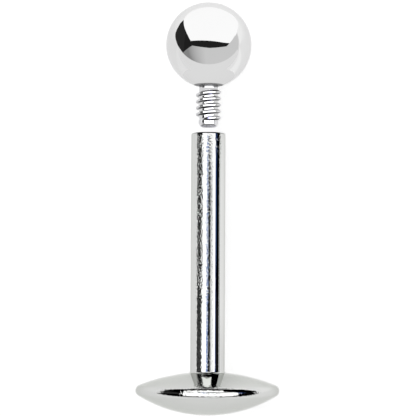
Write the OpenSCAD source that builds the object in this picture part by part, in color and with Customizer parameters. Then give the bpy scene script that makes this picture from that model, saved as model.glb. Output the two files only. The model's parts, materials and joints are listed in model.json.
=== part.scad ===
// Labret stud lying on its side, on the rim of its disc and on its ball. The ball end is unscrewed
// and stands just clear of the tube, in line with it. +Z is up and the ball is towards +X.

/* [Tube] */
// Diameter of the straight tube
tube_d = 1.6; // [1.45:0.05:1.9]
// Length of the tube between the disc and its mouth
tube_len = 11.1; // [6:0.1:16]
// Radius that rounds the mouth's outer edge
mouth_round = 0.1; // [0.02:0.01:0.12]
// Bevel around the bore inside the mouth
bore_bevel = 0.04; // [0.02:0.01:0.06]

/* [Disc] */
// Diameter of the lens-shaped disc over its rim
disc_d = 6.65; // [5.5:0.05:8]
// Height of the dome that the tube stands on, from the rim's middle plane
inner_dome_h = 0.86; // [0.7:0.02:1.1]
// Height of the dome on the far side, from the same plane
outer_dome_h = 1.14; // [0.8:0.02:1.4]
// Radius that rounds the rim
rim_r = 0.28; // [0.15:0.01:0.4]

/* [Ball] */
// Diameter of the ball
ball_d = 4; // [3:0.1:5]
// Diameter of the flat ground on the ball around the screw
flat_d = 1.25; // [1.1:0.02:1.5]

/* [Screw] */
// Diameter over the thread's crests
thread_d = 1.2; // [1.1:0.01:1.24]
// Diameter of the plain shank, the neck and the thread's core
core_d = 0.88; // [0.76:0.01:0.94]
// Rise of the thread in one turn
pitch = 0.3; // [0.25:0.01:0.35]
// Width of the flat on the thread's crest
crest_w = 0.04; // [0.02:0.01:0.06]
// Depth of the shank in the ball
shank_len = 1.1; // [0.6:0.1:1.6]
// Length of the plain neck below the ball's flat
neck_len = 0.26; // [0.1:0.01:0.5]
// Length of the thread
thread_len = 1.36; // [0.9:0.01:2]
// Length of the plain tip below the thread
tip_len = 0.33; // [0.25:0.01:0.6]
// Diameter of the plain tip
tip_d = 0.93; // [0.9:0.01:1]
// Radius that rounds the tip's end
tip_round = 0.2; // [0.05:0.01:0.22]

/* [Fit] */
// Space between the screw's tip and the tube's mouth
open_gap = 0.3; // [0.1:0.01:0.6]
// Radial clearance between the thread's crests and the tube's bore
bore_clear = 0.02; // [0.01:0.01:0.04]
// Depth of the bore beyond the tip of a screw that is fully home
bore_spare = 0.2; // [0.1:0.05:0.5]
// Clearance around and behind the shank in its seat
seat_clear = 0.01; // [0.01:0.01:0.03]

/* [Hidden] */
$fn = 96;

// Half angles of the thread's flanks and of a drill's point
flank_angle = 30;
drill_angle = 59;
// Steps round one turn of the thread, and the part of a turn over which it fades at each end
turn_steps = 32;
fade_turns = 0.3;
// How far the thread's ridge is rooted in the core, and where round the axis it starts
ridge_root = 0.05;
thread_start_angle = 25;
// How far cutting shapes run past the face that they cut
over = 0.1;

pin_len = neck_len + thread_len + tip_len;
bore_r = thread_d / 2 + bore_clear;
bore_len = pin_len + bore_spare;

// The disc's outline is three arcs that meet without a corner: a dome, the rim and the other dome
rim_x = disc_d / 2 - rim_r;
function dome_r(h) = (pow(rim_x, 2) + h * h - rim_r * rim_r) / (2 * (h - rim_r));
inner_r = dome_r(inner_dome_h);
outer_r = dome_r(outer_dome_h);
inner_z = inner_dome_h - inner_r;
outer_z = outer_r - outer_dome_h;

// Places along the stud's axis, from the rim's middle plane towards the ball
tube_foot_z = inner_z + sqrt(inner_r * inner_r - tube_d * tube_d / 4);
mouth_z = tube_foot_z + tube_len;
flat_z = mouth_z + open_gap + pin_len;
ball_z = flat_z + sqrt(ball_d * ball_d - flat_d * flat_d) / 2;

// The stud lies on the rim and the ball, so its axis leans down towards the ball
reach = norm([rim_x, ball_z]);
lean = acos((ball_d / 2 - rim_r) / reach) - atan2(ball_z, rim_x);
rim_plane_h = rim_x * cos(lean) + rim_r;
disc_end_x = outer_z * cos(lean) - outer_r;
ball_end_x = ball_z * cos(lean) + ball_d / 2;

// Lays the stud down, with the middle of its length over the origin
module lying() {
    translate([-(disc_end_x + ball_end_x) / 2, 0, rim_plane_h]) rotate([0, 90 + lean, 0]) children();
}

// Unit direction from a dome's centre to the rim's, on which both arcs meet
function tangent(centre_z) = [rim_x, -centre_z] / norm([rim_x, centre_z]);

// Half of the disc's outline, on the +X side of the stud's axis
module disc_outline() {
    inner_end = [rim_x, 0] + rim_r * tangent(inner_z);
    outer_end = [rim_x, 0] + rim_r * tangent(outer_z);
    intersection() {
        translate([0, inner_z]) circle(inner_r);
        translate([0, outer_z]) circle(outer_r);
        polygon([[0, disc_d], [inner_end.x, disc_d], inner_end, [rim_x, 0],
                 outer_end, [outer_end.x, -disc_d], [0, -disc_d]]);
    }
    translate([rim_x, 0]) circle(rim_r);
}

// Round rod that stands on the plane at 0, with its upper edge rounded
module rounded_rod(r, h, edge_r) {
    rotate_extrude() {
        square([r, h - edge_r]);
        square([r - edge_r, h]);
        intersection() {
            translate([r - edge_r, h - edge_r]) circle(edge_r);
            square([r, h]);
        }
    }
}

// Tube and disc are one piece of metal. The bore is blind and ends in a drill's point.
module post() {
    color("silver") lying() difference() {
        union() {
            rotate_extrude() disc_outline();
            rounded_rod(tube_d / 2, mouth_z, mouth_round);
        }
        translate([0, 0, mouth_z - bore_len]) {
            cylinder(h = bore_len + over, r = bore_r);
            mirror([0, 0, 1]) cylinder(h = bore_r / tan(drill_angle), r1 = bore_r, r2 = 0);
        }
        translate([0, 0, mouth_z - bore_bevel])
            cylinder(h = bore_bevel + over, r1 = bore_r, r2 = bore_r + bore_bevel + over);
    }
}

// The ball has a flat where the tube's mouth meets it, and a drilled seat for the shank
module ball() {
    color("gainsboro") lying() difference() {
        translate([0, 0, ball_z]) sphere(d = ball_d);
        translate([0, 0, flat_z - ball_d]) cylinder(h = ball_d, r = ball_d);
        translate([0, 0, flat_z - over])
            cylinder(h = shank_len + seat_clear + over, d = core_d + 2 * seat_clear);
    }
}

// One ring of the thread's ridge, a trapezium rooted in the core. The crest rises from inside the
// core at both ends of the ridge.
function ridge_ring(step, steps) =
    let (turned = step / turn_steps,
         left = (steps - step) / turn_steps,
         height = min(1, turned / fade_turns, left / fade_turns),
         root_r = core_d / 2 - ridge_root,
         low_r = core_d / 2 - ridge_root / 2,
         crest_r = low_r + (thread_d / 2 - low_r) * height,
         root_half = crest_w / 2 + (thread_d / 2 - root_r) * tan(flank_angle),
         crest_half = crest_w / 2 + (thread_d / 2 - crest_r) * tan(flank_angle),
         angle = thread_start_angle + 360 * turned)
    [for (p = [[root_r, -root_half], [root_r, root_half], [crest_r, crest_half], [crest_r, -crest_half]])
        [p.x * cos(angle), p.x * sin(angle), pitch * turned + p.y]];

// Right-hand ridge of the thread, whose crest climbs along +Z from 0 to thread_len
module thread_ridge() {
    steps = round(thread_len / pitch * turn_steps);
    rings = [for (step = [0 : steps]) each ridge_ring(step, steps)];
    corners = 4;
    last = corners * steps;
    polyhedron(rings, concat(
        [[0, 1, 2, 3], [last + 3, last + 2, last + 1, last]],
        [for (step = [0 : steps - 1], corner = [0 : corners - 1], half = [0, 1])
            let (here = corners * step, next = (corner + 1) % corners)
            half == 0
                ? [here + corner, here + corners + corner, here + corners + next]
                : [here + corner, here + corners + next, here + next]]
    ));
}

// Shank, neck, thread and rounded tip, with the ball's flat at 0 and the tip towards +Z
module screw_upright() {
    translate([0, 0, -shank_len]) cylinder(h = shank_len + neck_len + thread_len, d = core_d);
    translate([0, 0, neck_len]) thread_ridge();
    translate([0, 0, neck_len + thread_len]) rounded_rod(tip_d / 2, tip_len, tip_round);
}

module screw() {
    color("darkgray") lying() translate([0, 0, flat_z]) rotate([180, 0, 0]) screw_upright();
}

post();
ball();
screw();
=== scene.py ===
import json
import math

import bpy
from mathutils import Matrix, Vector


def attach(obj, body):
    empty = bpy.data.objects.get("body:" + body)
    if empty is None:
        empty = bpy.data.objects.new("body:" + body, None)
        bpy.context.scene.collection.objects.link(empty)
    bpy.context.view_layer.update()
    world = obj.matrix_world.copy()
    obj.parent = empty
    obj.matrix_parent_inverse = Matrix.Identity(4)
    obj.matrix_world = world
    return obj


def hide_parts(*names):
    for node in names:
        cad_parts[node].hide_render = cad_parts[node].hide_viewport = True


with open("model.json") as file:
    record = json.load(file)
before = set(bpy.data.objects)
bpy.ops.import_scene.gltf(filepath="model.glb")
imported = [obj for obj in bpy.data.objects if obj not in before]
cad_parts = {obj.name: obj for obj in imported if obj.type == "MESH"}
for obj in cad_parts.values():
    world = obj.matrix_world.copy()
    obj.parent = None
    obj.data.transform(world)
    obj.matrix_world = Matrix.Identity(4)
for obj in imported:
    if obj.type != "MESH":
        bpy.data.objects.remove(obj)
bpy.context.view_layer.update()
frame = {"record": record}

# The stud's own frame, laid in the row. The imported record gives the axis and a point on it, which is
# the middle of the tube's straight part.
mm = 0.001
tube_mid_z = 6.3225
axis = Vector(frame["record"]["behaviour"]["joints"][0]["axis"]).normalized()
tube_middle = Vector(frame["record"]["mounts"][0]["pos_m"])
rim_centre = tube_middle - axis * tube_mid_z * mm
down = Vector((axis.z, 0, -axis.x))
laid = Matrix((down, (0, 1, 0), axis)).transposed().to_4x4()
laid.translation = rim_centre

# Camera, fitted to the photograph: it looks down on the stud from straight above, with a long lens.
# It stands over the lower third of the tube and looks up along it a little, so the ball is further off.
camera_from_rim = Vector((-83.71, -0.018, 3.24))
camera_pitch = math.radians(3.558)
camera_roll = math.radians(0.24)
lens_per_width = 1805.2 / 416
camera_data = bpy.data.cameras.new("camera")
camera_data.sensor_width = 36
camera_data.lens = lens_per_width * camera_data.sensor_width
camera_data.clip_start = 1 * mm
camera_data.clip_end = 10
camera = bpy.data.objects.new("camera", camera_data)
bpy.context.scene.collection.objects.link(camera)
picture_axes = Matrix(((0, -1, 0), axis, -down)).transposed()
camera_turn = Matrix.Rotation(camera_roll, 3, "Z") @ Matrix.Rotation(camera_pitch, 3, "X")
camera.matrix_world = (picture_axes @ camera_turn).to_4x4()
camera.location = laid @ (camera_from_rim * mm)
bpy.context.scene.camera = camera

# Post: the tube and the lens-shaped disc are one piece of surgical steel, turned, drilled and tapped
# at the mouth, and then polished. The disc came out of the polish as a mirror, while the tube keeps a
# fine orange peel and chatter from the lathe along one side.
tube_r = 0.8
mouth_z = 11.9225
mouth_round = 0.07
bore_r = 0.62
bore_bevel = 0.04
bore_len = 2.15
drill_angle = math.radians(59)
rim_r = 0.28
rim_x = 6.65 / 2 - rim_r
inner_dome_h = 0.86
outer_dome_h = 1.14
foot_fillet = 0.07
pitch = 0.3
flank_slope = 1 / math.tan(math.radians(30))
# Where round the axis the bore's thread starts, so that the screw's thread lies in its grooves at home
bore_thread_angle = math.radians(22.9)


def arc(centre_r, centre_z, radius, start, end, steps):
    """Points (r, z) of an arc in the outline's plane, with angles in degrees from +r towards +z."""
    turns = [math.radians(start + (end - start) * k / steps) for k in range(steps + 1)]
    return [(centre_r + radius * math.cos(t), centre_z + radius * math.sin(t)) for t in turns]


def line(start, end, steps):
    """Points (r, z) from start to end, without the start."""
    return [(start[0] + (end[0] - start[0]) * k / steps, start[1] + (end[1] - start[1]) * k / steps)
            for k in range(1, steps + 1)]


def lathe(name, outline, around):
    """A closed body of revolution about Z. The outline runs from one pole to the other."""
    bottom, rings, top = outline[0], outline[1:-1], outline[-1]
    turns = [2 * math.pi * k / around for k in range(around)]
    points = [(r * math.cos(t), r * math.sin(t), z) for r, z in rings for t in turns]
    poles = len(points)
    points += [(0, 0, bottom[1]), (0, 0, top[1])]
    faces = []
    for k in range(around):
        following = (k + 1) % around
        faces.append((poles, following, k))
        for ring in range(len(rings) - 1):
            low, high = ring * around, (ring + 1) * around
            faces.append((low + k, low + following, high + following, high + k))
        last = (len(rings) - 1) * around
        faces.append((last + k, last + following, poles + 1))
    mesh = bpy.data.meshes.new(name)
    mesh.from_pydata(points, [], faces)
    mesh.polygons.foreach_set("use_smooth", [True] * len(faces))
    piece = bpy.data.objects.new(name, mesh)
    bpy.context.scene.collection.objects.link(piece)
    return piece


def maths(operation, *values):
    """A Math node on the values, which are numbers or sockets, in the tree that the sockets are in."""
    sockets = [value for value in values if not isinstance(value, (int, float))]
    tree = sockets[0].id_data
    node = tree.nodes.new("ShaderNodeMath")
    node.operation = operation
    for socket, value in zip(node.inputs, values):
        if isinstance(value, (int, float)):
            socket.default_value = value
        else:
            tree.links.new(value, socket)
    return node.outputs[0]


def thread_tree():
    """Raises a screw thread on the points whose attribute "threaded" is 1. The thread follows a helix
    round Z, and it fades in and out over a part of a turn."""
    tree = bpy.data.node_groups.new("screw_thread", "GeometryNodeTree")
    face = tree.interface
    face.new_socket("Geometry", in_out="INPUT", socket_type="NodeSocketGeometry")
    for label in ("Pitch", "Start", "Start Angle", "Turns", "Fade Turns", "Half Crest", "Height",
                  "Flank Slope", "Outward"):
        face.new_socket(label, in_out="INPUT", socket_type="NodeSocketFloat")
    face.new_socket("Material", in_out="INPUT", socket_type="NodeSocketMaterial")
    face.new_socket("Geometry", in_out="OUTPUT", socket_type="NodeSocketGeometry")
    nodes, links = tree.nodes, tree.links
    given = nodes.new("NodeGroupInput").outputs
    place = nodes.new("ShaderNodeSeparateXYZ")
    links.new(nodes.new("GeometryNodeInputPosition").outputs[0], place.inputs[0])
    x, y, z = place.outputs
    radius = maths("SQRT", maths("ADD", maths("MULTIPLY", x, x), maths("MULTIPLY", y, y)))
    turned = maths("DIVIDE", maths("SUBTRACT", maths("ARCTAN2", y, x), given["Start Angle"]), 2 * math.pi)
    risen = maths("DIVIDE", maths("SUBTRACT", z, given["Start"]), given["Pitch"])
    whole = maths("ROUND", maths("SUBTRACT", risen, turned))
    along = maths("ADD", whole, turned)
    from_crest = maths("MULTIPLY", maths("ABSOLUTE", maths("SUBTRACT", risen, along)), given["Pitch"])
    nearest_end = maths("MINIMUM", along, maths("SUBTRACT", given["Turns"], along))
    fade = maths("MINIMUM", 1.0, maths("MAXIMUM", 0.0, maths("DIVIDE", nearest_end, given["Fade Turns"])))
    fallen = maths("MULTIPLY", maths("SUBTRACT", from_crest, given["Half Crest"]), given["Flank Slope"])
    raised = maths("SUBTRACT", maths("MULTIPLY", given["Height"], fade), maths("MAXIMUM", fallen, 0.0))
    height = maths("MULTIPLY", maths("MAXIMUM", raised, 0.0), given["Outward"])
    scale = maths("DIVIDE", height, maths("MAXIMUM", radius, 0.01))
    offset = nodes.new("ShaderNodeCombineXYZ")
    links.new(maths("MULTIPLY", x, scale), offset.inputs[0])
    links.new(maths("MULTIPLY", y, scale), offset.inputs[1])
    threaded = nodes.new("GeometryNodeInputNamedAttribute")
    threaded.data_type = "BOOLEAN"
    threaded.inputs["Name"].default_value = "threaded"
    move = nodes.new("GeometryNodeSetPosition")
    realize = nodes.new("GeometryNodeRealizeInstances")
    dress = nodes.new("GeometryNodeSetMaterial")
    out = nodes.new("NodeGroupOutput")
    links.new(given["Geometry"], move.inputs["Geometry"])
    links.new(threaded.outputs["Attribute"], move.inputs["Selection"])
    links.new(offset.outputs[0], move.inputs["Offset"])
    links.new(move.outputs[0], realize.inputs[0])
    links.new(realize.outputs[0], dress.inputs["Geometry"])
    links.new(given["Material"], dress.inputs["Material"])
    links.new(dress.outputs[0], out.inputs[0])
    return tree


def cut_thread(piece, tree, is_threaded, material, **sizes):
    """Runs the thread's tree on a lathed piece and keeps the result as its plain mesh."""
    mark = piece.data.attributes.new("threaded", "BOOLEAN", "POINT")
    mark.data.foreach_set("value", [is_threaded(Vector(p.co)) for p in piece.data.vertices])
    modifier = piece.modifiers.new("thread", "NODES")
    modifier.node_group = tree
    for item in tree.interface.items_tree:
        if item.in_out == "INPUT" and item.name.replace(" ", "_").lower() in sizes:
            modifier[item.identifier] = sizes[item.name.replace(" ", "_").lower()]
        elif item.in_out == "INPUT" and item.name == "Material":
            modifier[item.identifier] = material
    shown = piece.evaluated_get(bpy.context.evaluated_depsgraph_get())
    plain = bpy.data.meshes.new_from_object(shown)
    piece.modifiers.clear()
    piece.data = plain
    plain.attributes.remove(plain.attributes["threaded"])


def lay_down(piece):
    """Takes a finished mesh from the stud's own frame, in millimetres, to its place in the row."""
    piece.data.transform(laid @ Matrix.Scale(mm, 4))


def polish_group():
    """Marks that every steel surface of the stud has: orange peel, rings from the lathe, hairline
    scratches along the axis and slow changes of tone. Place is in the stud's frame, in millimetres."""
    group = bpy.data.node_groups.new("polish_marks", "ShaderNodeTree")
    face = group.interface
    face.new_socket("Place", in_out="INPUT", socket_type="NodeSocketVector")
    for label in ("Peel Size", "Peel Depth", "Ring Spacing", "Ring Depth", "Scratch Depth"):
        face.new_socket(label, in_out="INPUT", socket_type="NodeSocketFloat")
    for label in ("Height", "Haze", "Tone"):
        face.new_socket(label, in_out="OUTPUT", socket_type="NodeSocketFloat")
    nodes, links = group.nodes, group.links
    given = nodes.new("NodeGroupInput").outputs
    out = nodes.new("NodeGroupOutput").inputs

    def noise(stretch, size, detail):
        """Noise from 0 to 1 whose grains are size millimetres wide, drawn out by stretch."""
        mapping = nodes.new("ShaderNodeVectorMath")
        mapping.operation = "MULTIPLY"
        mapping.inputs[1].default_value = stretch
        links.new(given["Place"], mapping.inputs[0])
        texture = nodes.new("ShaderNodeTexNoise")
        texture.inputs["Detail"].default_value = detail
        links.new(mapping.outputs[0], texture.inputs["Vector"])
        if isinstance(size, (int, float)):
            texture.inputs["Scale"].default_value = 1 / size
        else:
            links.new(maths("DIVIDE", 1.0, size), texture.inputs["Scale"])
        return texture.outputs["Fac"]

    waves = maths("SUBTRACT", noise((1, 1, 1), given["Peel Size"], 1.5), 0.5)
    peel = maths("MULTIPLY", waves, given["Peel Depth"])
    rings = maths("MULTIPLY", noise((0.12, 0.12, 1), given["Ring Spacing"], 1.0), given["Ring Depth"])
    hairs = noise((1, 1, 0.04), 0.05, 0.5)
    scratched_above = 0.69
    scratches = maths("MULTIPLY", maths("GREATER_THAN", hairs, scratched_above), given["Scratch Depth"])
    height = maths("SUBTRACT", maths("ADD", peel, rings), scratches)
    haze = maths("MULTIPLY", noise((1, 1, 0.6), 0.35, 2.0), maths("ADD", hairs, 0.5))
    links.new(height, out["Height"])
    links.new(haze, out["Haze"])
    links.new(noise((1, 1, 0.7), 1.4, 2.0), out["Tone"])
    return group


polish = polish_group()


def steel(name, tones, edge_tint, roughness, marks):
    """Polished steel with the shared marks. tones are two base colours, and roughness its range."""
    material = bpy.data.materials.new(name)
    material.use_nodes = True
    nodes, links = material.node_tree.nodes, material.node_tree.links
    shader = nodes["Principled BSDF"]
    shader.inputs["Metallic"].default_value = 1.0
    shader.inputs["Specular Tint"].default_value = (*edge_tint, 1)
    coordinate = nodes.new("ShaderNodeTexCoord")
    own_frame = nodes.new("ShaderNodeMapping")
    own_frame.name = "own_frame"
    own_frame.vector_type = "TEXTURE"
    own_frame.inputs["Location"].default_value = laid.translation
    own_frame.inputs["Rotation"].default_value = laid.to_euler()
    own_frame.inputs["Scale"].default_value = (mm, mm, mm)
    links.new(coordinate.outputs["Object"], own_frame.inputs["Vector"])
    marked = nodes.new("ShaderNodeGroup")
    marked.name = "marks"
    marked.node_tree = polish
    links.new(own_frame.outputs[0], marked.inputs["Place"])
    for label, value in marks.items():
        marked.inputs[label].default_value = value
    colour = nodes.new("ShaderNodeMix")
    colour.name = "tones"
    colour.data_type = "RGBA"
    colour.inputs["A"].default_value = (*tones[0], 1)
    colour.inputs["B"].default_value = (*tones[1], 1)
    links.new(marked.outputs["Tone"], colour.inputs["Factor"])
    links.new(colour.outputs["Result"], shader.inputs["Base Color"])
    haze = nodes.new("ShaderNodeMapRange")
    haze.name = "haze"
    haze.inputs["From Min"].default_value = 0.25
    haze.inputs["From Max"].default_value = 0.75
    haze.inputs["To Min"].default_value = roughness[0]
    haze.inputs["To Max"].default_value = roughness[1]
    links.new(marked.outputs["Haze"], haze.inputs["Value"])
    links.new(haze.outputs["Result"], shader.inputs["Roughness"])
    bump = nodes.new("ShaderNodeBump")
    bump.name = "bump"
    bump.inputs["Strength"].default_value = 1.0
    bump.inputs["Distance"].default_value = mm
    links.new(marked.outputs["Height"], bump.inputs["Height"])
    links.new(bump.outputs["Normal"], shader.inputs["Normal"])
    return material


def dull_and_paint_group():
    """Takes a surface's colour and roughness to those of a patch where the mask is 1. It gives duller
    finishes and painted shade, reflections and light.
    """
    group = bpy.data.node_groups.new("dull_patch", "ShaderNodeTree")
    face = group.interface
    face.new_socket("Mask", in_out="INPUT", socket_type="NodeSocketFloat")
    for label, kind in (("Colour", "NodeSocketColor"), ("Roughness", "NodeSocketFloat")):
        face.new_socket(label, in_out="INPUT", socket_type=kind)
        face.new_socket("Dull " + label, in_out="INPUT", socket_type=kind)
        face.new_socket(label, in_out="OUTPUT", socket_type=kind)
    nodes, links = group.nodes, group.links
    given = nodes.new("NodeGroupInput").outputs
    out = nodes.new("NodeGroupOutput").inputs
    for label, kind in (("Colour", "RGBA"), ("Roughness", "FLOAT")):
        blend = nodes.new("ShaderNodeMix")
        blend.data_type = kind
        links.new(given["Mask"], blend.inputs["Factor"])
        links.new(given[label], blend.inputs["A"])
        links.new(given["Dull " + label], blend.inputs["B"])
        links.new(blend.outputs["Result"], out[label])
    return group


dull_patch = dull_and_paint_group()


def dull_and_paint(material, mask, colour, roughness):
    """Gives the steel another colour and roughness where the mask is 1, for a duller finish and for
    painted shade, reflections and light.
    """
    nodes, links = material.node_tree.nodes, material.node_tree.links
    base, blur = (nodes["Principled BSDF"].inputs[label] for label in ("Base Color", "Roughness"))
    patch = nodes.new("ShaderNodeGroup")
    patch.node_tree = dull_patch
    patch.inputs["Dull Colour"].default_value = (*colour, 1)
    patch.inputs["Dull Roughness"].default_value = roughness
    links.new(mask, patch.inputs["Mask"])
    links.new(base.links[0].from_socket, patch.inputs["Colour"])
    links.new(blur.links[0].from_socket, patch.inputs["Roughness"])
    links.new(patch.outputs["Colour"], base)
    links.new(patch.outputs["Roughness"], blur)


def dome(height, side, steps):
    """The dome's arc from its pole to the rim. side is 1 for the tube's side and -1 for the other."""
    radius = (rim_x ** 2 + height ** 2 - rim_r ** 2) / (2 * (height - rim_r))
    edge = math.degrees(math.atan2(radius - height, rim_x))
    points = arc(0, side * (height - radius), radius, 90 * side, edge * side, steps)
    return points, radius, edge


outer_dome, _, outer_edge = dome(outer_dome_h, -1, 48)
inner_dome, inner_radius, inner_edge = dome(inner_dome_h, 1, 64)
rim = arc(rim_x, 0, rim_r, -outer_edge, inner_edge, 32)[1:-1]
fillet_r = tube_r + foot_fillet
dome_centre = inner_dome_h - inner_radius
fillet_z = dome_centre + math.sqrt((inner_radius + foot_fillet) ** 2 - fillet_r ** 2)
fillet_start = math.degrees(math.atan2(dome_centre - fillet_z, -fillet_r))
fillet = arc(fillet_r, fillet_z, foot_fillet, fillet_start, -180, 12)
shoulder = [p for p in reversed(inner_dome) if p[0] > fillet[0][0]]
tube_top = mouth_z - mouth_round
post_outline = outer_dome + rim + shoulder + fillet
post_outline += line(post_outline[-1], (tube_r, tube_top), 60)
post_outline += arc(tube_r - mouth_round, tube_top, mouth_round, 0, 90, 16)[1:]
post_outline += line(post_outline[-1], (bore_r + bore_bevel, mouth_z), 2)
post_outline += line(post_outline[-1], (bore_r, mouth_z - bore_bevel), 3)
post_outline += line(post_outline[-1], (bore_r, mouth_z - bore_len), 220)
post_outline += line(post_outline[-1], (0, mouth_z - bore_len - bore_r / math.tan(drill_angle)), 12)
post = lathe("post_tube_and_disc", post_outline, 192)

post_steel = steel("post_steel", ((0.58, 0.585, 0.575), (0.61, 0.615, 0.605)), (0.72, 0.73, 0.71),
                   (0.02, 0.045), {"Peel Size": 0.085, "Ring Spacing": 0.06, "Ring Depth": 0.0004,
                                  "Scratch Depth": 0.0002})


def ramp_up(source, low, high, to_low, to_high):
    """A value that goes smoothly from to_low to to_high while the source goes from low to high."""
    tree = source.id_data
    node = tree.nodes.new("ShaderNodeMapRange")
    node.interpolation_type = "SMOOTHSTEP"
    for label, value in (("From Min", low), ("From Max", high), ("To Min", to_low), ("To Max", to_high)):
        node.inputs[label].default_value = value
    tree.links.new(source, node.inputs["Value"])
    return node.outputs["Result"]


def product(*values):
    """The values multiplied together."""
    whole = values[0]
    for value in values[1:]:
        whole = maths("MULTIPLY", whole, value)
    return whole


def own_place(material):
    """The three coordinates of the stud's own frame, in millimetres."""
    tree = material.node_tree
    split = tree.nodes.new("ShaderNodeSeparateXYZ")
    tree.links.new(tree.nodes["own_frame"].outputs[0], split.inputs[0])
    return split.outputs


# The lathe's chatter is deepest on one side of the tube, from a third of its length up. Beside it runs
# a line of fine flecks, and there is a little at the mouth and on the rim. It stops short of the lip,
# which is rounded and has a dark ring of painted shade on it, darkest on top. Depths are in millimetres.
peel_depth = 0.0045
chatter_depth = 0.024
fleck_depth = 0.0065
mouth_depth = 0.012
rim_depth = 0.006
rim_fleck_depth = 0.04
down_place, side_place, up_place = own_place(post_steel)
peel = ramp_up(side_place, -0.3, -0.2, 0.0, peel_depth)
chatter = maths("ADD", ramp_up(side_place, 0.14, 0.33, 0.0, chatter_depth), peel)
chatter = product(chatter, ramp_up(up_place, 3.8, 5.0, 0.28, 1.0))
flecks = product(ramp_up(side_place, -0.06, 0.02, 0.0, fleck_depth),
                 ramp_up(side_place, 0.08, 0.14, 1.0, 0.0),
                 ramp_up(up_place, 8.5, 10.5, 1.0, 0.3),
                 ramp_up(up_place, 2.2, 3.4, 0.25, 1.0))
chatter = product(maths("ADD", chatter, flecks), ramp_up(side_place, 0.44, 0.53, 1.0, 0.06))
at_mouth = product(ramp_up(up_place, 10.6, 11.2, 0.0003, mouth_depth),
                   ramp_up(side_place, -0.38, -0.28, 1.0, 0.15))
chatter = product(maths("ADD", chatter, at_mouth),
                  ramp_up(up_place, mouth_z - 0.16, mouth_z - 0.07, 1.0, 0.0))
rim_chatter = product(ramp_up(up_place, -0.4, -0.25, 0.0, rim_depth),
                      ramp_up(up_place, 0.25, 0.4, 1.0, 0.0))
rim_flecks = product(ramp_up(side_place, -0.65, -0.5, 0.0, rim_fleck_depth),
                     ramp_up(side_place, 0.0, 0.1, 1.0, 0.0),
                     ramp_up(up_place, -0.3, -0.22, 0.0, 1.0),
                     ramp_up(up_place, -0.04, 0.06, 1.0, 0.0))
chatter = maths("ADD", chatter, maths("ADD", rim_chatter, rim_flecks))
post_steel.node_tree.links.new(chatter, post_steel.node_tree.nodes["marks"].inputs["Peel Depth"])
# Painted shade: a dark ring on the lip, darkest on top
lip_painted_shade = product(ramp_up(up_place, mouth_z - 0.06, mouth_z - 0.05, 0.0, 1.0),
              ramp_up(down_place, -0.66, -0.4, 1.0, 0.35))
dull_and_paint(post_steel, lip_painted_shade, (0.05, 0.05, 0.052), 0.35)
thread = thread_tree()
cut_thread(post, thread, lambda p: p.xy.length < bore_r + 0.01 and p.z > mouth_z - bore_len + 0.01,
           post_steel, pitch=pitch, start=mouth_z - bore_len, start_angle=bore_thread_angle, turns=6.9,
           fade_turns=0.6, half_crest=0.04, height=0.12, flank_slope=flank_slope, outward=-1.0)
lay_down(post)
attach(post, "post")
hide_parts("post")

# Ball: a steel ball bearing's finish all round, with a small flat ground on it for the screw and a
# hole drilled in the flat, into which the screw's plain shank is pressed.
ball_r = 2.0
ball_z = 16.0724
flat_r = 0.625
flat_z = 14.1726
flat_round = 0.03
seat_r = 0.45
seat_len = 1.11
ball_edge = math.degrees(math.atan2(flat_z - ball_z, flat_r))
ball_outline = [(0, flat_z + seat_len), *line((0, flat_z + seat_len), (seat_r, flat_z + seat_len), 6)]
ball_outline += line(ball_outline[-1], (seat_r, flat_z + flat_round), 16)
ball_outline += line(ball_outline[-1], (seat_r + flat_round, flat_z), 3)
ball_outline += line(ball_outline[-1], (flat_r - flat_round, flat_z), 6)
ball_outline += arc(0, ball_z, ball_r, ball_edge + 0.6, 90, 160)
ball = lathe("ball_mirror", ball_outline, 256)
ball_steel = steel("ball_steel", ((0.65, 0.65, 0.65), (0.67, 0.67, 0.67)), (0.85, 0.85, 0.85),
                   (0.012, 0.03), {"Peel Size": 0.5, "Peel Depth": 0.0003, "Ring Spacing": 0.3,
                                   "Ring Depth": 0.0001, "Scratch Depth": 0.00005})

# The flat was left as it was ground, duller than the polish, and its darker colour is painted shade
flat_dull_and_shade = ramp_up(own_place(ball_steel)["Z"], flat_z + 0.01, flat_z + 0.04, 1.0, 0.0)
dull_and_paint(ball_steel, flat_dull_and_shade, (0.125, 0.125, 0.13), 0.4)
ball.data.materials.append(ball_steel)
lay_down(ball)
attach(ball, "ball_end")
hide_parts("ball")

# Screw: one small steel pin, turned and threaded by a die and tumbled bright. Its plain shank is
# pressed into the ball, and its right-hand thread ends short of a plain rounded tip.
core_r = 0.44
crest_r = 0.6
shank_len = 1.1
neck_len = 0.26
thread_len = 1.36
tip_r = 0.465
tip_len = 0.33
tip_round = 0.2
screw_flank_slope = 1 / math.tan(math.radians(26))
thread_start = math.radians(25)
thread_end = neck_len + thread_len
pin_len = thread_end + tip_len
screw_outline = [(0, -shank_len), *line((0, -shank_len), (core_r - 0.04, -shank_len), 4)]
screw_outline += line(screw_outline[-1], (core_r, -shank_len + 0.04), 3)
screw_outline += line(screw_outline[-1], (core_r, neck_len - 0.1), 40)
screw_outline += line(screw_outline[-1], (core_r, thread_end), 190)
screw_outline += line(screw_outline[-1], (tip_r, thread_end + 0.02), 3)
screw_outline += line(screw_outline[-1], (tip_r, pin_len - tip_round), 16)
screw_outline += arc(tip_r - tip_round, pin_len - tip_round, tip_round, 0, 90, 20)[1:]
screw_outline += line(screw_outline[-1], (0, pin_len), 4)
screw = lathe("screw_pin", screw_outline, 144)
screw_steel = steel("screw_steel", ((0.58, 0.58, 0.59), (0.63, 0.63, 0.64)), (0.9, 0.9, 0.9),
                    (0.04, 0.1), {"Peel Size": 0.12, "Peel Depth": 0.002, "Ring Spacing": 0.06,
                                  "Ring Depth": 0.0006, "Scratch Depth": 0.0002})
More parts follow.
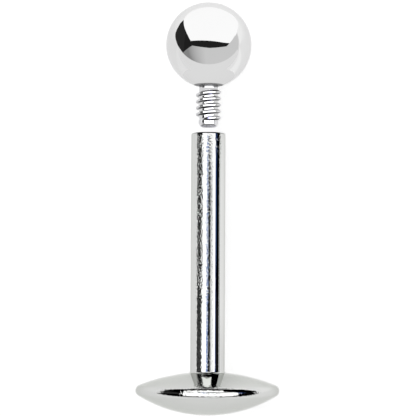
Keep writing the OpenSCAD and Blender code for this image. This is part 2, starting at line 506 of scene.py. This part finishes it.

# The thread's flanks and the corner against the ball have painted shade, lighter at the sides, and a
# painted bluish reflection runs along the flanks on top. The sawn end of the tip is matt, and its pale
# colour is painted light.
painted_shade_black = (0.05, 0.05, 0.055)
painted_reflection_blue = (0.4, 0.4, 0.62)
sawn_painted_pale = (0.93, 0.92, 0.98)
nodes, links = screw_steel.node_tree.nodes, screw_steel.node_tree.links
flattened = nodes.new("ShaderNodeVectorMath")
flattened.operation = "MULTIPLY"
flattened.inputs[1].default_value = (1, 1, 0)
links.new(nodes["own_frame"].outputs[0], flattened.inputs[0])
from_axis = nodes.new("ShaderNodeVectorMath")
from_axis.operation = "LENGTH"
links.new(flattened.outputs[0], from_axis.inputs[0])
radius = from_axis.outputs["Value"]
side_place, up_place = (own_place(screw_steel)[label] for label in "YZ")
# Painted shade on the thread's flanks, lighter towards the sides
flank_painted_shade = product(ramp_up(radius, 0.468, 0.482, 0.0, 1.0),
                ramp_up(radius, 0.578, 0.594, 1.0, 0.0),
                ramp_up(side_place, 0.38, 0.52, 1.0, 0.4),
                ramp_up(side_place, -0.56, -0.48, 0.4, 1.0))
# Painted shade in the corner against the ball
corner_painted_shade = ramp_up(up_place, flat_z - 0.12, flat_z - 0.1, 0.0, 0.8)
dull_and_paint(screw_steel, maths("MAXIMUM", flank_painted_shade, corner_painted_shade), painted_shade_black, 0.3)
# A painted bluish reflection along the flanks on top
painted_blue_streak = product(flank_painted_shade, ramp_up(side_place, -0.2, -0.12, 0.0, 1.0),
                 ramp_up(side_place, -0.02, 0.08, 1.0, 0.0))
dull_and_paint(screw_steel, painted_blue_streak, painted_reflection_blue, 0.2)
# The sawn end is matt, and its pale colour is painted light
sawn_end_matt_and_painted = ramp_up(up_place, flat_z - pin_len + 0.02, flat_z - pin_len + 0.08, 1.0, 0.0)
dull_and_paint(screw_steel, sawn_end_matt_and_painted, sawn_painted_pale, 0.7)
cut_thread(screw, thread, lambda p: p.z > -0.1, screw_steel, pitch=pitch, start=neck_len,
           start_angle=thread_start, turns=thread_len / pitch, fade_turns=0.12, half_crest=0.035,
           height=crest_r - core_r, flank_slope=screw_flank_slope, outward=1.0)
screw.data.transform(Matrix.Translation((0, 0, flat_z)) @ Matrix.Rotation(math.pi, 4, "X"))
lay_down(screw)
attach(screw, "ball_end")
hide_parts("screw")

# The ball and the tube show plain table where they face the pin, so it is kept out of their mirrors
screw.visible_glossy = False

# Floor: a plain white acrylic table, lit from below and from above, so that it is white in the
# picture and the stud still casts a faint soft shadow on it. It glows a little more beyond the ball,
# at the right and beside the tube, as the stud's mirror shows.
floor_glow = 0.73
floor_size = 1.5
floor_mesh = bpy.data.meshes.new("floor")
floor_mesh.from_pydata([(-floor_size, -floor_size, 0), (floor_size, -floor_size, 0),
                        (floor_size, floor_size, 0), (-floor_size, floor_size, 0)], [], [(0, 1, 2, 3)])
floor = bpy.data.objects.new("floor", floor_mesh)
bpy.context.scene.collection.objects.link(floor)
floor_white = bpy.data.materials.new("floor_white")
floor_white.use_nodes = True
floor_shader = floor_white.node_tree.nodes["Principled BSDF"]
floor_shader.inputs["Base Color"].default_value = (0.8, 0.8, 0.8, 1)
floor_shader.inputs["Roughness"].default_value = 1.0
floor_shader.inputs["Specular IOR Level"].default_value = 0.0
floor_shader.inputs["Emission Color"].default_value = (1, 1, 1, 1)
floor_mesh.materials.append(floor_white)
floor_nodes, floor_links = floor_white.node_tree.nodes, floor_white.node_tree.links
floor_place = floor_nodes.new("ShaderNodeSeparateXYZ")
floor_links.new(floor_nodes.new("ShaderNodeTexCoord").outputs["Object"], floor_place.inputs[0])
along_row, across_row = floor_place.outputs["X"], floor_place.outputs["Y"]
beyond_ball = ramp_up(along_row, 8 * mm, 13 * mm, floor_glow, floor_glow + 0.14)
right_side = ramp_up(across_row, -9 * mm, -1 * mm, 0.06, 0.0)
beside_tube = product(ramp_up(along_row, -7.5 * mm, -5 * mm, 0.0, 1.0),
                      ramp_up(along_row, 3 * mm, 4.5 * mm, 1.0, 0.0),
                      maths("ADD", ramp_up(across_row, 1 * mm, 4 * mm, 0.0, 0.05),
                            ramp_up(across_row, -4 * mm, -1 * mm, 0.12, 0.0)))
glow_everywhere = maths("ADD", beside_tube, maths("ADD", beyond_ball, right_side))
floor_links.new(glow_everywhere, floor_shader.inputs["Emission Strength"])

# Light: soft white boxes above, with black between them and below them, as a jeweller's light tent
# has. Each light falls only on the pieces that it is set for, where a studio would shade the others
# with cards.
tent_height = 250 * mm
white = (1, 1, 1)


def falls_on(name, *pieces):
    """A set of pieces that a light can be limited to."""
    group = bpy.data.collections.new(name)
    for piece in pieces:
        group.objects.link(piece)
    return group


def soft_box(name, size, place, turn, brightness, colour, pieces):
    """A flat glowing rectangle. turn tips its face, which looks down, about the X axis."""
    data = bpy.data.lights.new(name, "AREA")
    data.shape = "RECTANGLE"
    data.size, data.size_y = size
    data.color = colour
    data.energy = brightness * math.pi * data.size * data.size_y
    light = bpy.data.objects.new(name, data)
    light.visible_camera = False
    light.location = place
    light.rotation_euler = (turn, 0, 0)
    bpy.context.scene.collection.objects.link(light)
    light.light_linking.receiver_collection = pieces


def overhead(name, across, along, brightness, colour, pieces):
    """A box in the tent's roof. Its edges are angles from straight up: across towards the right of
    the picture, and along towards the ball."""
    right, left = (-tent_height * math.tan(math.radians(a)) for a in reversed(across))
    near, far = (tent_height * math.tan(math.radians(a)) for a in along)
    soft_box(name, (far - near, left - right), ((near + far) / 2, (left + right) / 2, tent_height), 0,
             brightness, colour, pieces)


def table_edge(name, side, foot, rise, brightness, pieces):
    """The table's bright far edge, from foot to rise in degrees. side is 1 at the left of the picture."""
    away = 4 * tent_height
    low, high = (away * math.tan(math.radians(a)) for a in (foot, rise))
    soft_box(name, (0.6 * tent_height, high - low), (0.14 * tent_height, side * away, (low + high) / 2),
             -side * math.radians(90), brightness, white, pieces)


# Four white boxes fill the roof over the post round a gap, which makes the tube's middle stripe. Blue
# and grey cards stand in the gap, and dim and blue ones at the roof's edges colour the outer stripes.
tent_light = 1.95
whole_roof = (-57, 20)
gap_across = (-10, 33)
gap_along = (0.5, 11.5)
post_side = falls_on("lit_with_post", post)
overhead("box_left", (-40, -10), whole_roof, tent_light, white, post_side)
overhead("box_right", (33, 49.8), whole_roof, tent_light, white, post_side)
overhead("box_middle_back", gap_across, (-57, 0.5), tent_light, white, post_side)
overhead("box_middle_front", gap_across, (12, 20), tent_light, white, post_side)
overhead("box_blue_left", (-10, 0.5), gap_along, 0.9, (0.4, 0.55, 1), post_side)
overhead("box_dim", (0.5, 15), (8.5, 12), 0.15, white, post_side)
overhead("box_dim_left", (-73, -42), (-10, 5), 0.07, white, post_side)
overhead("box_grey_left", (16.5, 19.5), gap_along, 1.4, white, post_side)
overhead("box_grey", (19.5, 24.5), gap_along, 0.55, white, post_side)
overhead("box_grey_right", (24.5, 31.5), gap_along, 1.6, white, post_side)
overhead("box_blue_edge", (49.8, 54), (-10, 20), 0.45, (0.16, 0.28, 1), post_side)
overhead("box_dim_right", (56, 73), (-10, 5), 0.015, white, post_side)
overhead("box_blue_right", (54.5, 60), (7.3, 20), 0.2, (0.25, 0.45, 1), post_side)
overhead("box_far", (-41, 30), (31, 52), 2.4, white, post_side)
table_edge("edge_left", 1, 7.3, 12.5, 1.15, post_side)
table_edge("edge_right", -1, 0, 7.7, 0.2, post_side)
table_edge("edge_right_top", -1, 6.8, 9.8, 2.2, post_side)

screw_side = falls_on("lit_with_screw", screw)
overhead("pin_box", (-49, 64), (-78, 22), 2.2, white, screw_side)
table_edge("pin_edge_left", 1, 0, 33, 1.2, screw_side)
table_edge("pin_edge_right", -1, 0, 9, 1.2, screw_side)

sun_data = bpy.data.lights.new("sky_panel", "SUN")
sun_data.angle = math.radians(50)
sun_data.energy = 1.25
sun = bpy.data.objects.new("sky_panel", sun_data)
sun.rotation_euler = (math.radians(-8), math.radians(10), 0)
bpy.context.scene.collection.objects.link(sun)
sun.light_linking.receiver_collection = falls_on("lit_floor", floor)


def ball_card(name, corners, brightness, left_brightness=None, pieces=None):
    """A glowing card that only the ball and its pin mirror, or the given pieces. Corners are in metres,
    from the ball's centre. With left_brightness the card's glow changes to that towards the left of
    the picture."""
    centre = laid @ (Vector((0, 0, ball_z)) * mm)
    mesh = bpy.data.meshes.new(name)
    mesh.from_pydata([centre + Vector(c) for c in corners], [], [tuple(range(len(corners)))])
    card = bpy.data.objects.new(name, mesh)
    bpy.context.scene.collection.objects.link(card)
    glow = bpy.data.materials.new(name)
    glow.use_nodes = True
    nodes, links = glow.node_tree.nodes, glow.node_tree.links
    nodes.remove(nodes["Principled BSDF"])
    emission = nodes.new("ShaderNodeEmission")
    emission.inputs["Strength"].default_value = brightness
    if left_brightness is not None:
        split = nodes.new("ShaderNodeSeparateXYZ")
        grade = nodes.new("ShaderNodeMapRange")
        for label, value in (("From Min", 0.05), ("From Max", 0.5), ("To Min", brightness),
                             ("To Max", left_brightness)):
            grade.inputs[label].default_value = value
        links.new(nodes.new("ShaderNodeTexCoord").outputs["Object"], split.inputs[0])
        links.new(split.outputs["Y"], grade.inputs["Value"])
        links.new(grade.outputs["Result"], emission.inputs["Strength"])
    links.new(emission.outputs[0], nodes["Material Output"].inputs["Surface"])
    mesh.materials.append(glow)
    card.visible_camera = card.visible_diffuse = card.visible_shadow = False
    card.light_linking.receiver_collection = pieces or ball_side


ball_side = falls_on("lit_with_ball", ball, screw)
table_light = 1.06
window_light = 1.45
window_facing = Vector((0.825, 0, 0.564)).normalized()
window_up = Vector((-0.564, 0, 0.825)).normalized()
window_across = Vector((0, 1, 0))
window_outline = [(1.61, 0.99), (1.5, 0.3), (1.58, -0.66), (-2.65, -0.66), (-2.6, -0.2), (-2.7, 0.6),
                  (-2.68, 1.25), (-1.35, 1.26), (-0.5, 1.17), (0.06, 1.11), (0.62, 1.06)]
ball_card("ball_window", [(window_facing + window_across * across + window_up * up) * 0.6
                          for across, up in window_outline], window_light)

# Two cards stand close to the ball: a white one in front of the window's foot, and a black one
near_edge = 4 * mm
window_foot = [(6.28, 4.66), (5.42, 3.56), (4.5, 2.6), (4.06, 1.95), (3.4, 1.66), (2.75, 1.52),
               (2.28, 1.52), (1.57, 1.66), (0.97, 1.75), (0.42, 1.82), (-0.1, 1.83), (-0.63, 1.81),
               (-1.2, 1.78), (-1.98, 1.58), (-3.13, 1.02), (-3.89, 0.82), (-5.11, 0.86), (-6.1, 1.46),
               (-7.1, 2.3), (-8.5, 3.3), (-9.5, 4.0), (-9.5, 4.66)]
ball_card("ball_window_foot", [(near_edge, y * mm, (z - ball_r) * mm) for y, z in window_foot],
          window_light)
flag = [(4.0, 1.92), (3.57, 1.98), (3.04, 1.97), (2.38, 2.16), (1.75, 2.25), (1.34, 2.32), (0.85, 2.6),
        (0.36, 2.98), (-0.15, 3.33), (-0.74, 3.78), (-1.33, 4.19), (-0.9, 4.6), (0.5, 4.8),
        (2.1, 4.8), (2.85, 3.65), (3.5, 2.7)]
ball_card("ball_flag", [(x * mm, near_edge, (z - ball_r) * mm) for x, z in flag], 0.03)
ball_card("ball_grey", [(-0.031, 0.301, 0.3), (-0.062, -0.016, 0.3), (-0.044, -0.343, 0.3),
                        (0.023, -0.465, 0.3), (0.367, -1.151, 0.3), (0.75, -1.9, 0.3), (2.6, -6, 0.3),
                        (-1, -6, 0.3), (-3, -3, 0.3), (-3, 3, 0.3), (-1.03, 3, 0.3)], 0.85, 0.34)
ball_card("ball_low", [(-0.4, -2.4, 0.12), (-0.4, 2.4, 0.12), (-0.4, 2.4, 0.265), (-0.4, -2.4, 0.265)],
          table_light)
ball_card("table_back", [(-0.4, -2.4, 0), (-0.4, 2.4, 0), (-0.4, 2.4, 0.12), (-0.4, -2.4, 0.12)],
          table_light, pieces=falls_on("lit_with_all", post, ball, screw))

# A washer of white paper stands around the pin's neck, and keeps the tube and the disc out of the
# ball's mirror. It is slit below.
slit_turns = [math.radians(1 + 358 * k / 60) for k in range(61)]
washer = [(1.8 * math.cos(t), 1.8 * math.sin(t)) for t in slit_turns]
washer += [(0.6 * math.cos(t), 0.6 * math.sin(t)) for t in reversed(slit_turns)]
washer = [laid.to_3x3() @ (Vector((x, y, flat_z - 0.12 - ball_z)) * mm) for x, y in washer]
ball_card("pin_paper", washer, table_light)

# Surroundings: the white table's far edge glows up to a low height, and above it the studio is dark.
# Behind the stud, in every view, the picture stays white.
studio_dark = 0.02
backdrop_white = 1.3
world = bpy.data.worlds.new("studio")
bpy.context.scene.world = world
world.use_nodes = True
sky, sky_links = world.node_tree.nodes, world.node_tree.links
backdrop = sky["Background"]
direction = sky.new("ShaderNodeTexCoord")
split = sky.new("ShaderNodeSeparateXYZ")
rise = sky.new("ShaderNodeValToRGB")
for element, height, light in zip(rise.color_ramp.elements, (0.11, 0.16), (table_light, studio_dark)):
    element.position = height
    element.color = (light, light, light, 1)
seen = sky.new("ShaderNodeLightPath")
choose = sky.new("ShaderNodeMix")
choose.data_type = "RGBA"
choose.inputs["B"].default_value = (backdrop_white, backdrop_white, backdrop_white, 1)
sky_links.new(direction.outputs["Generated"], split.inputs[0])
sky_links.new(split.outputs["Z"], rise.inputs["Fac"])
sky_links.new(rise.outputs["Color"], choose.inputs["A"])
sky_links.new(seen.outputs["Is Camera Ray"], choose.inputs["Factor"])
sky_links.new(choose.outputs["Result"], backdrop.inputs["Color"])
bpy.context.scene.view_settings.view_transform = "Standard"
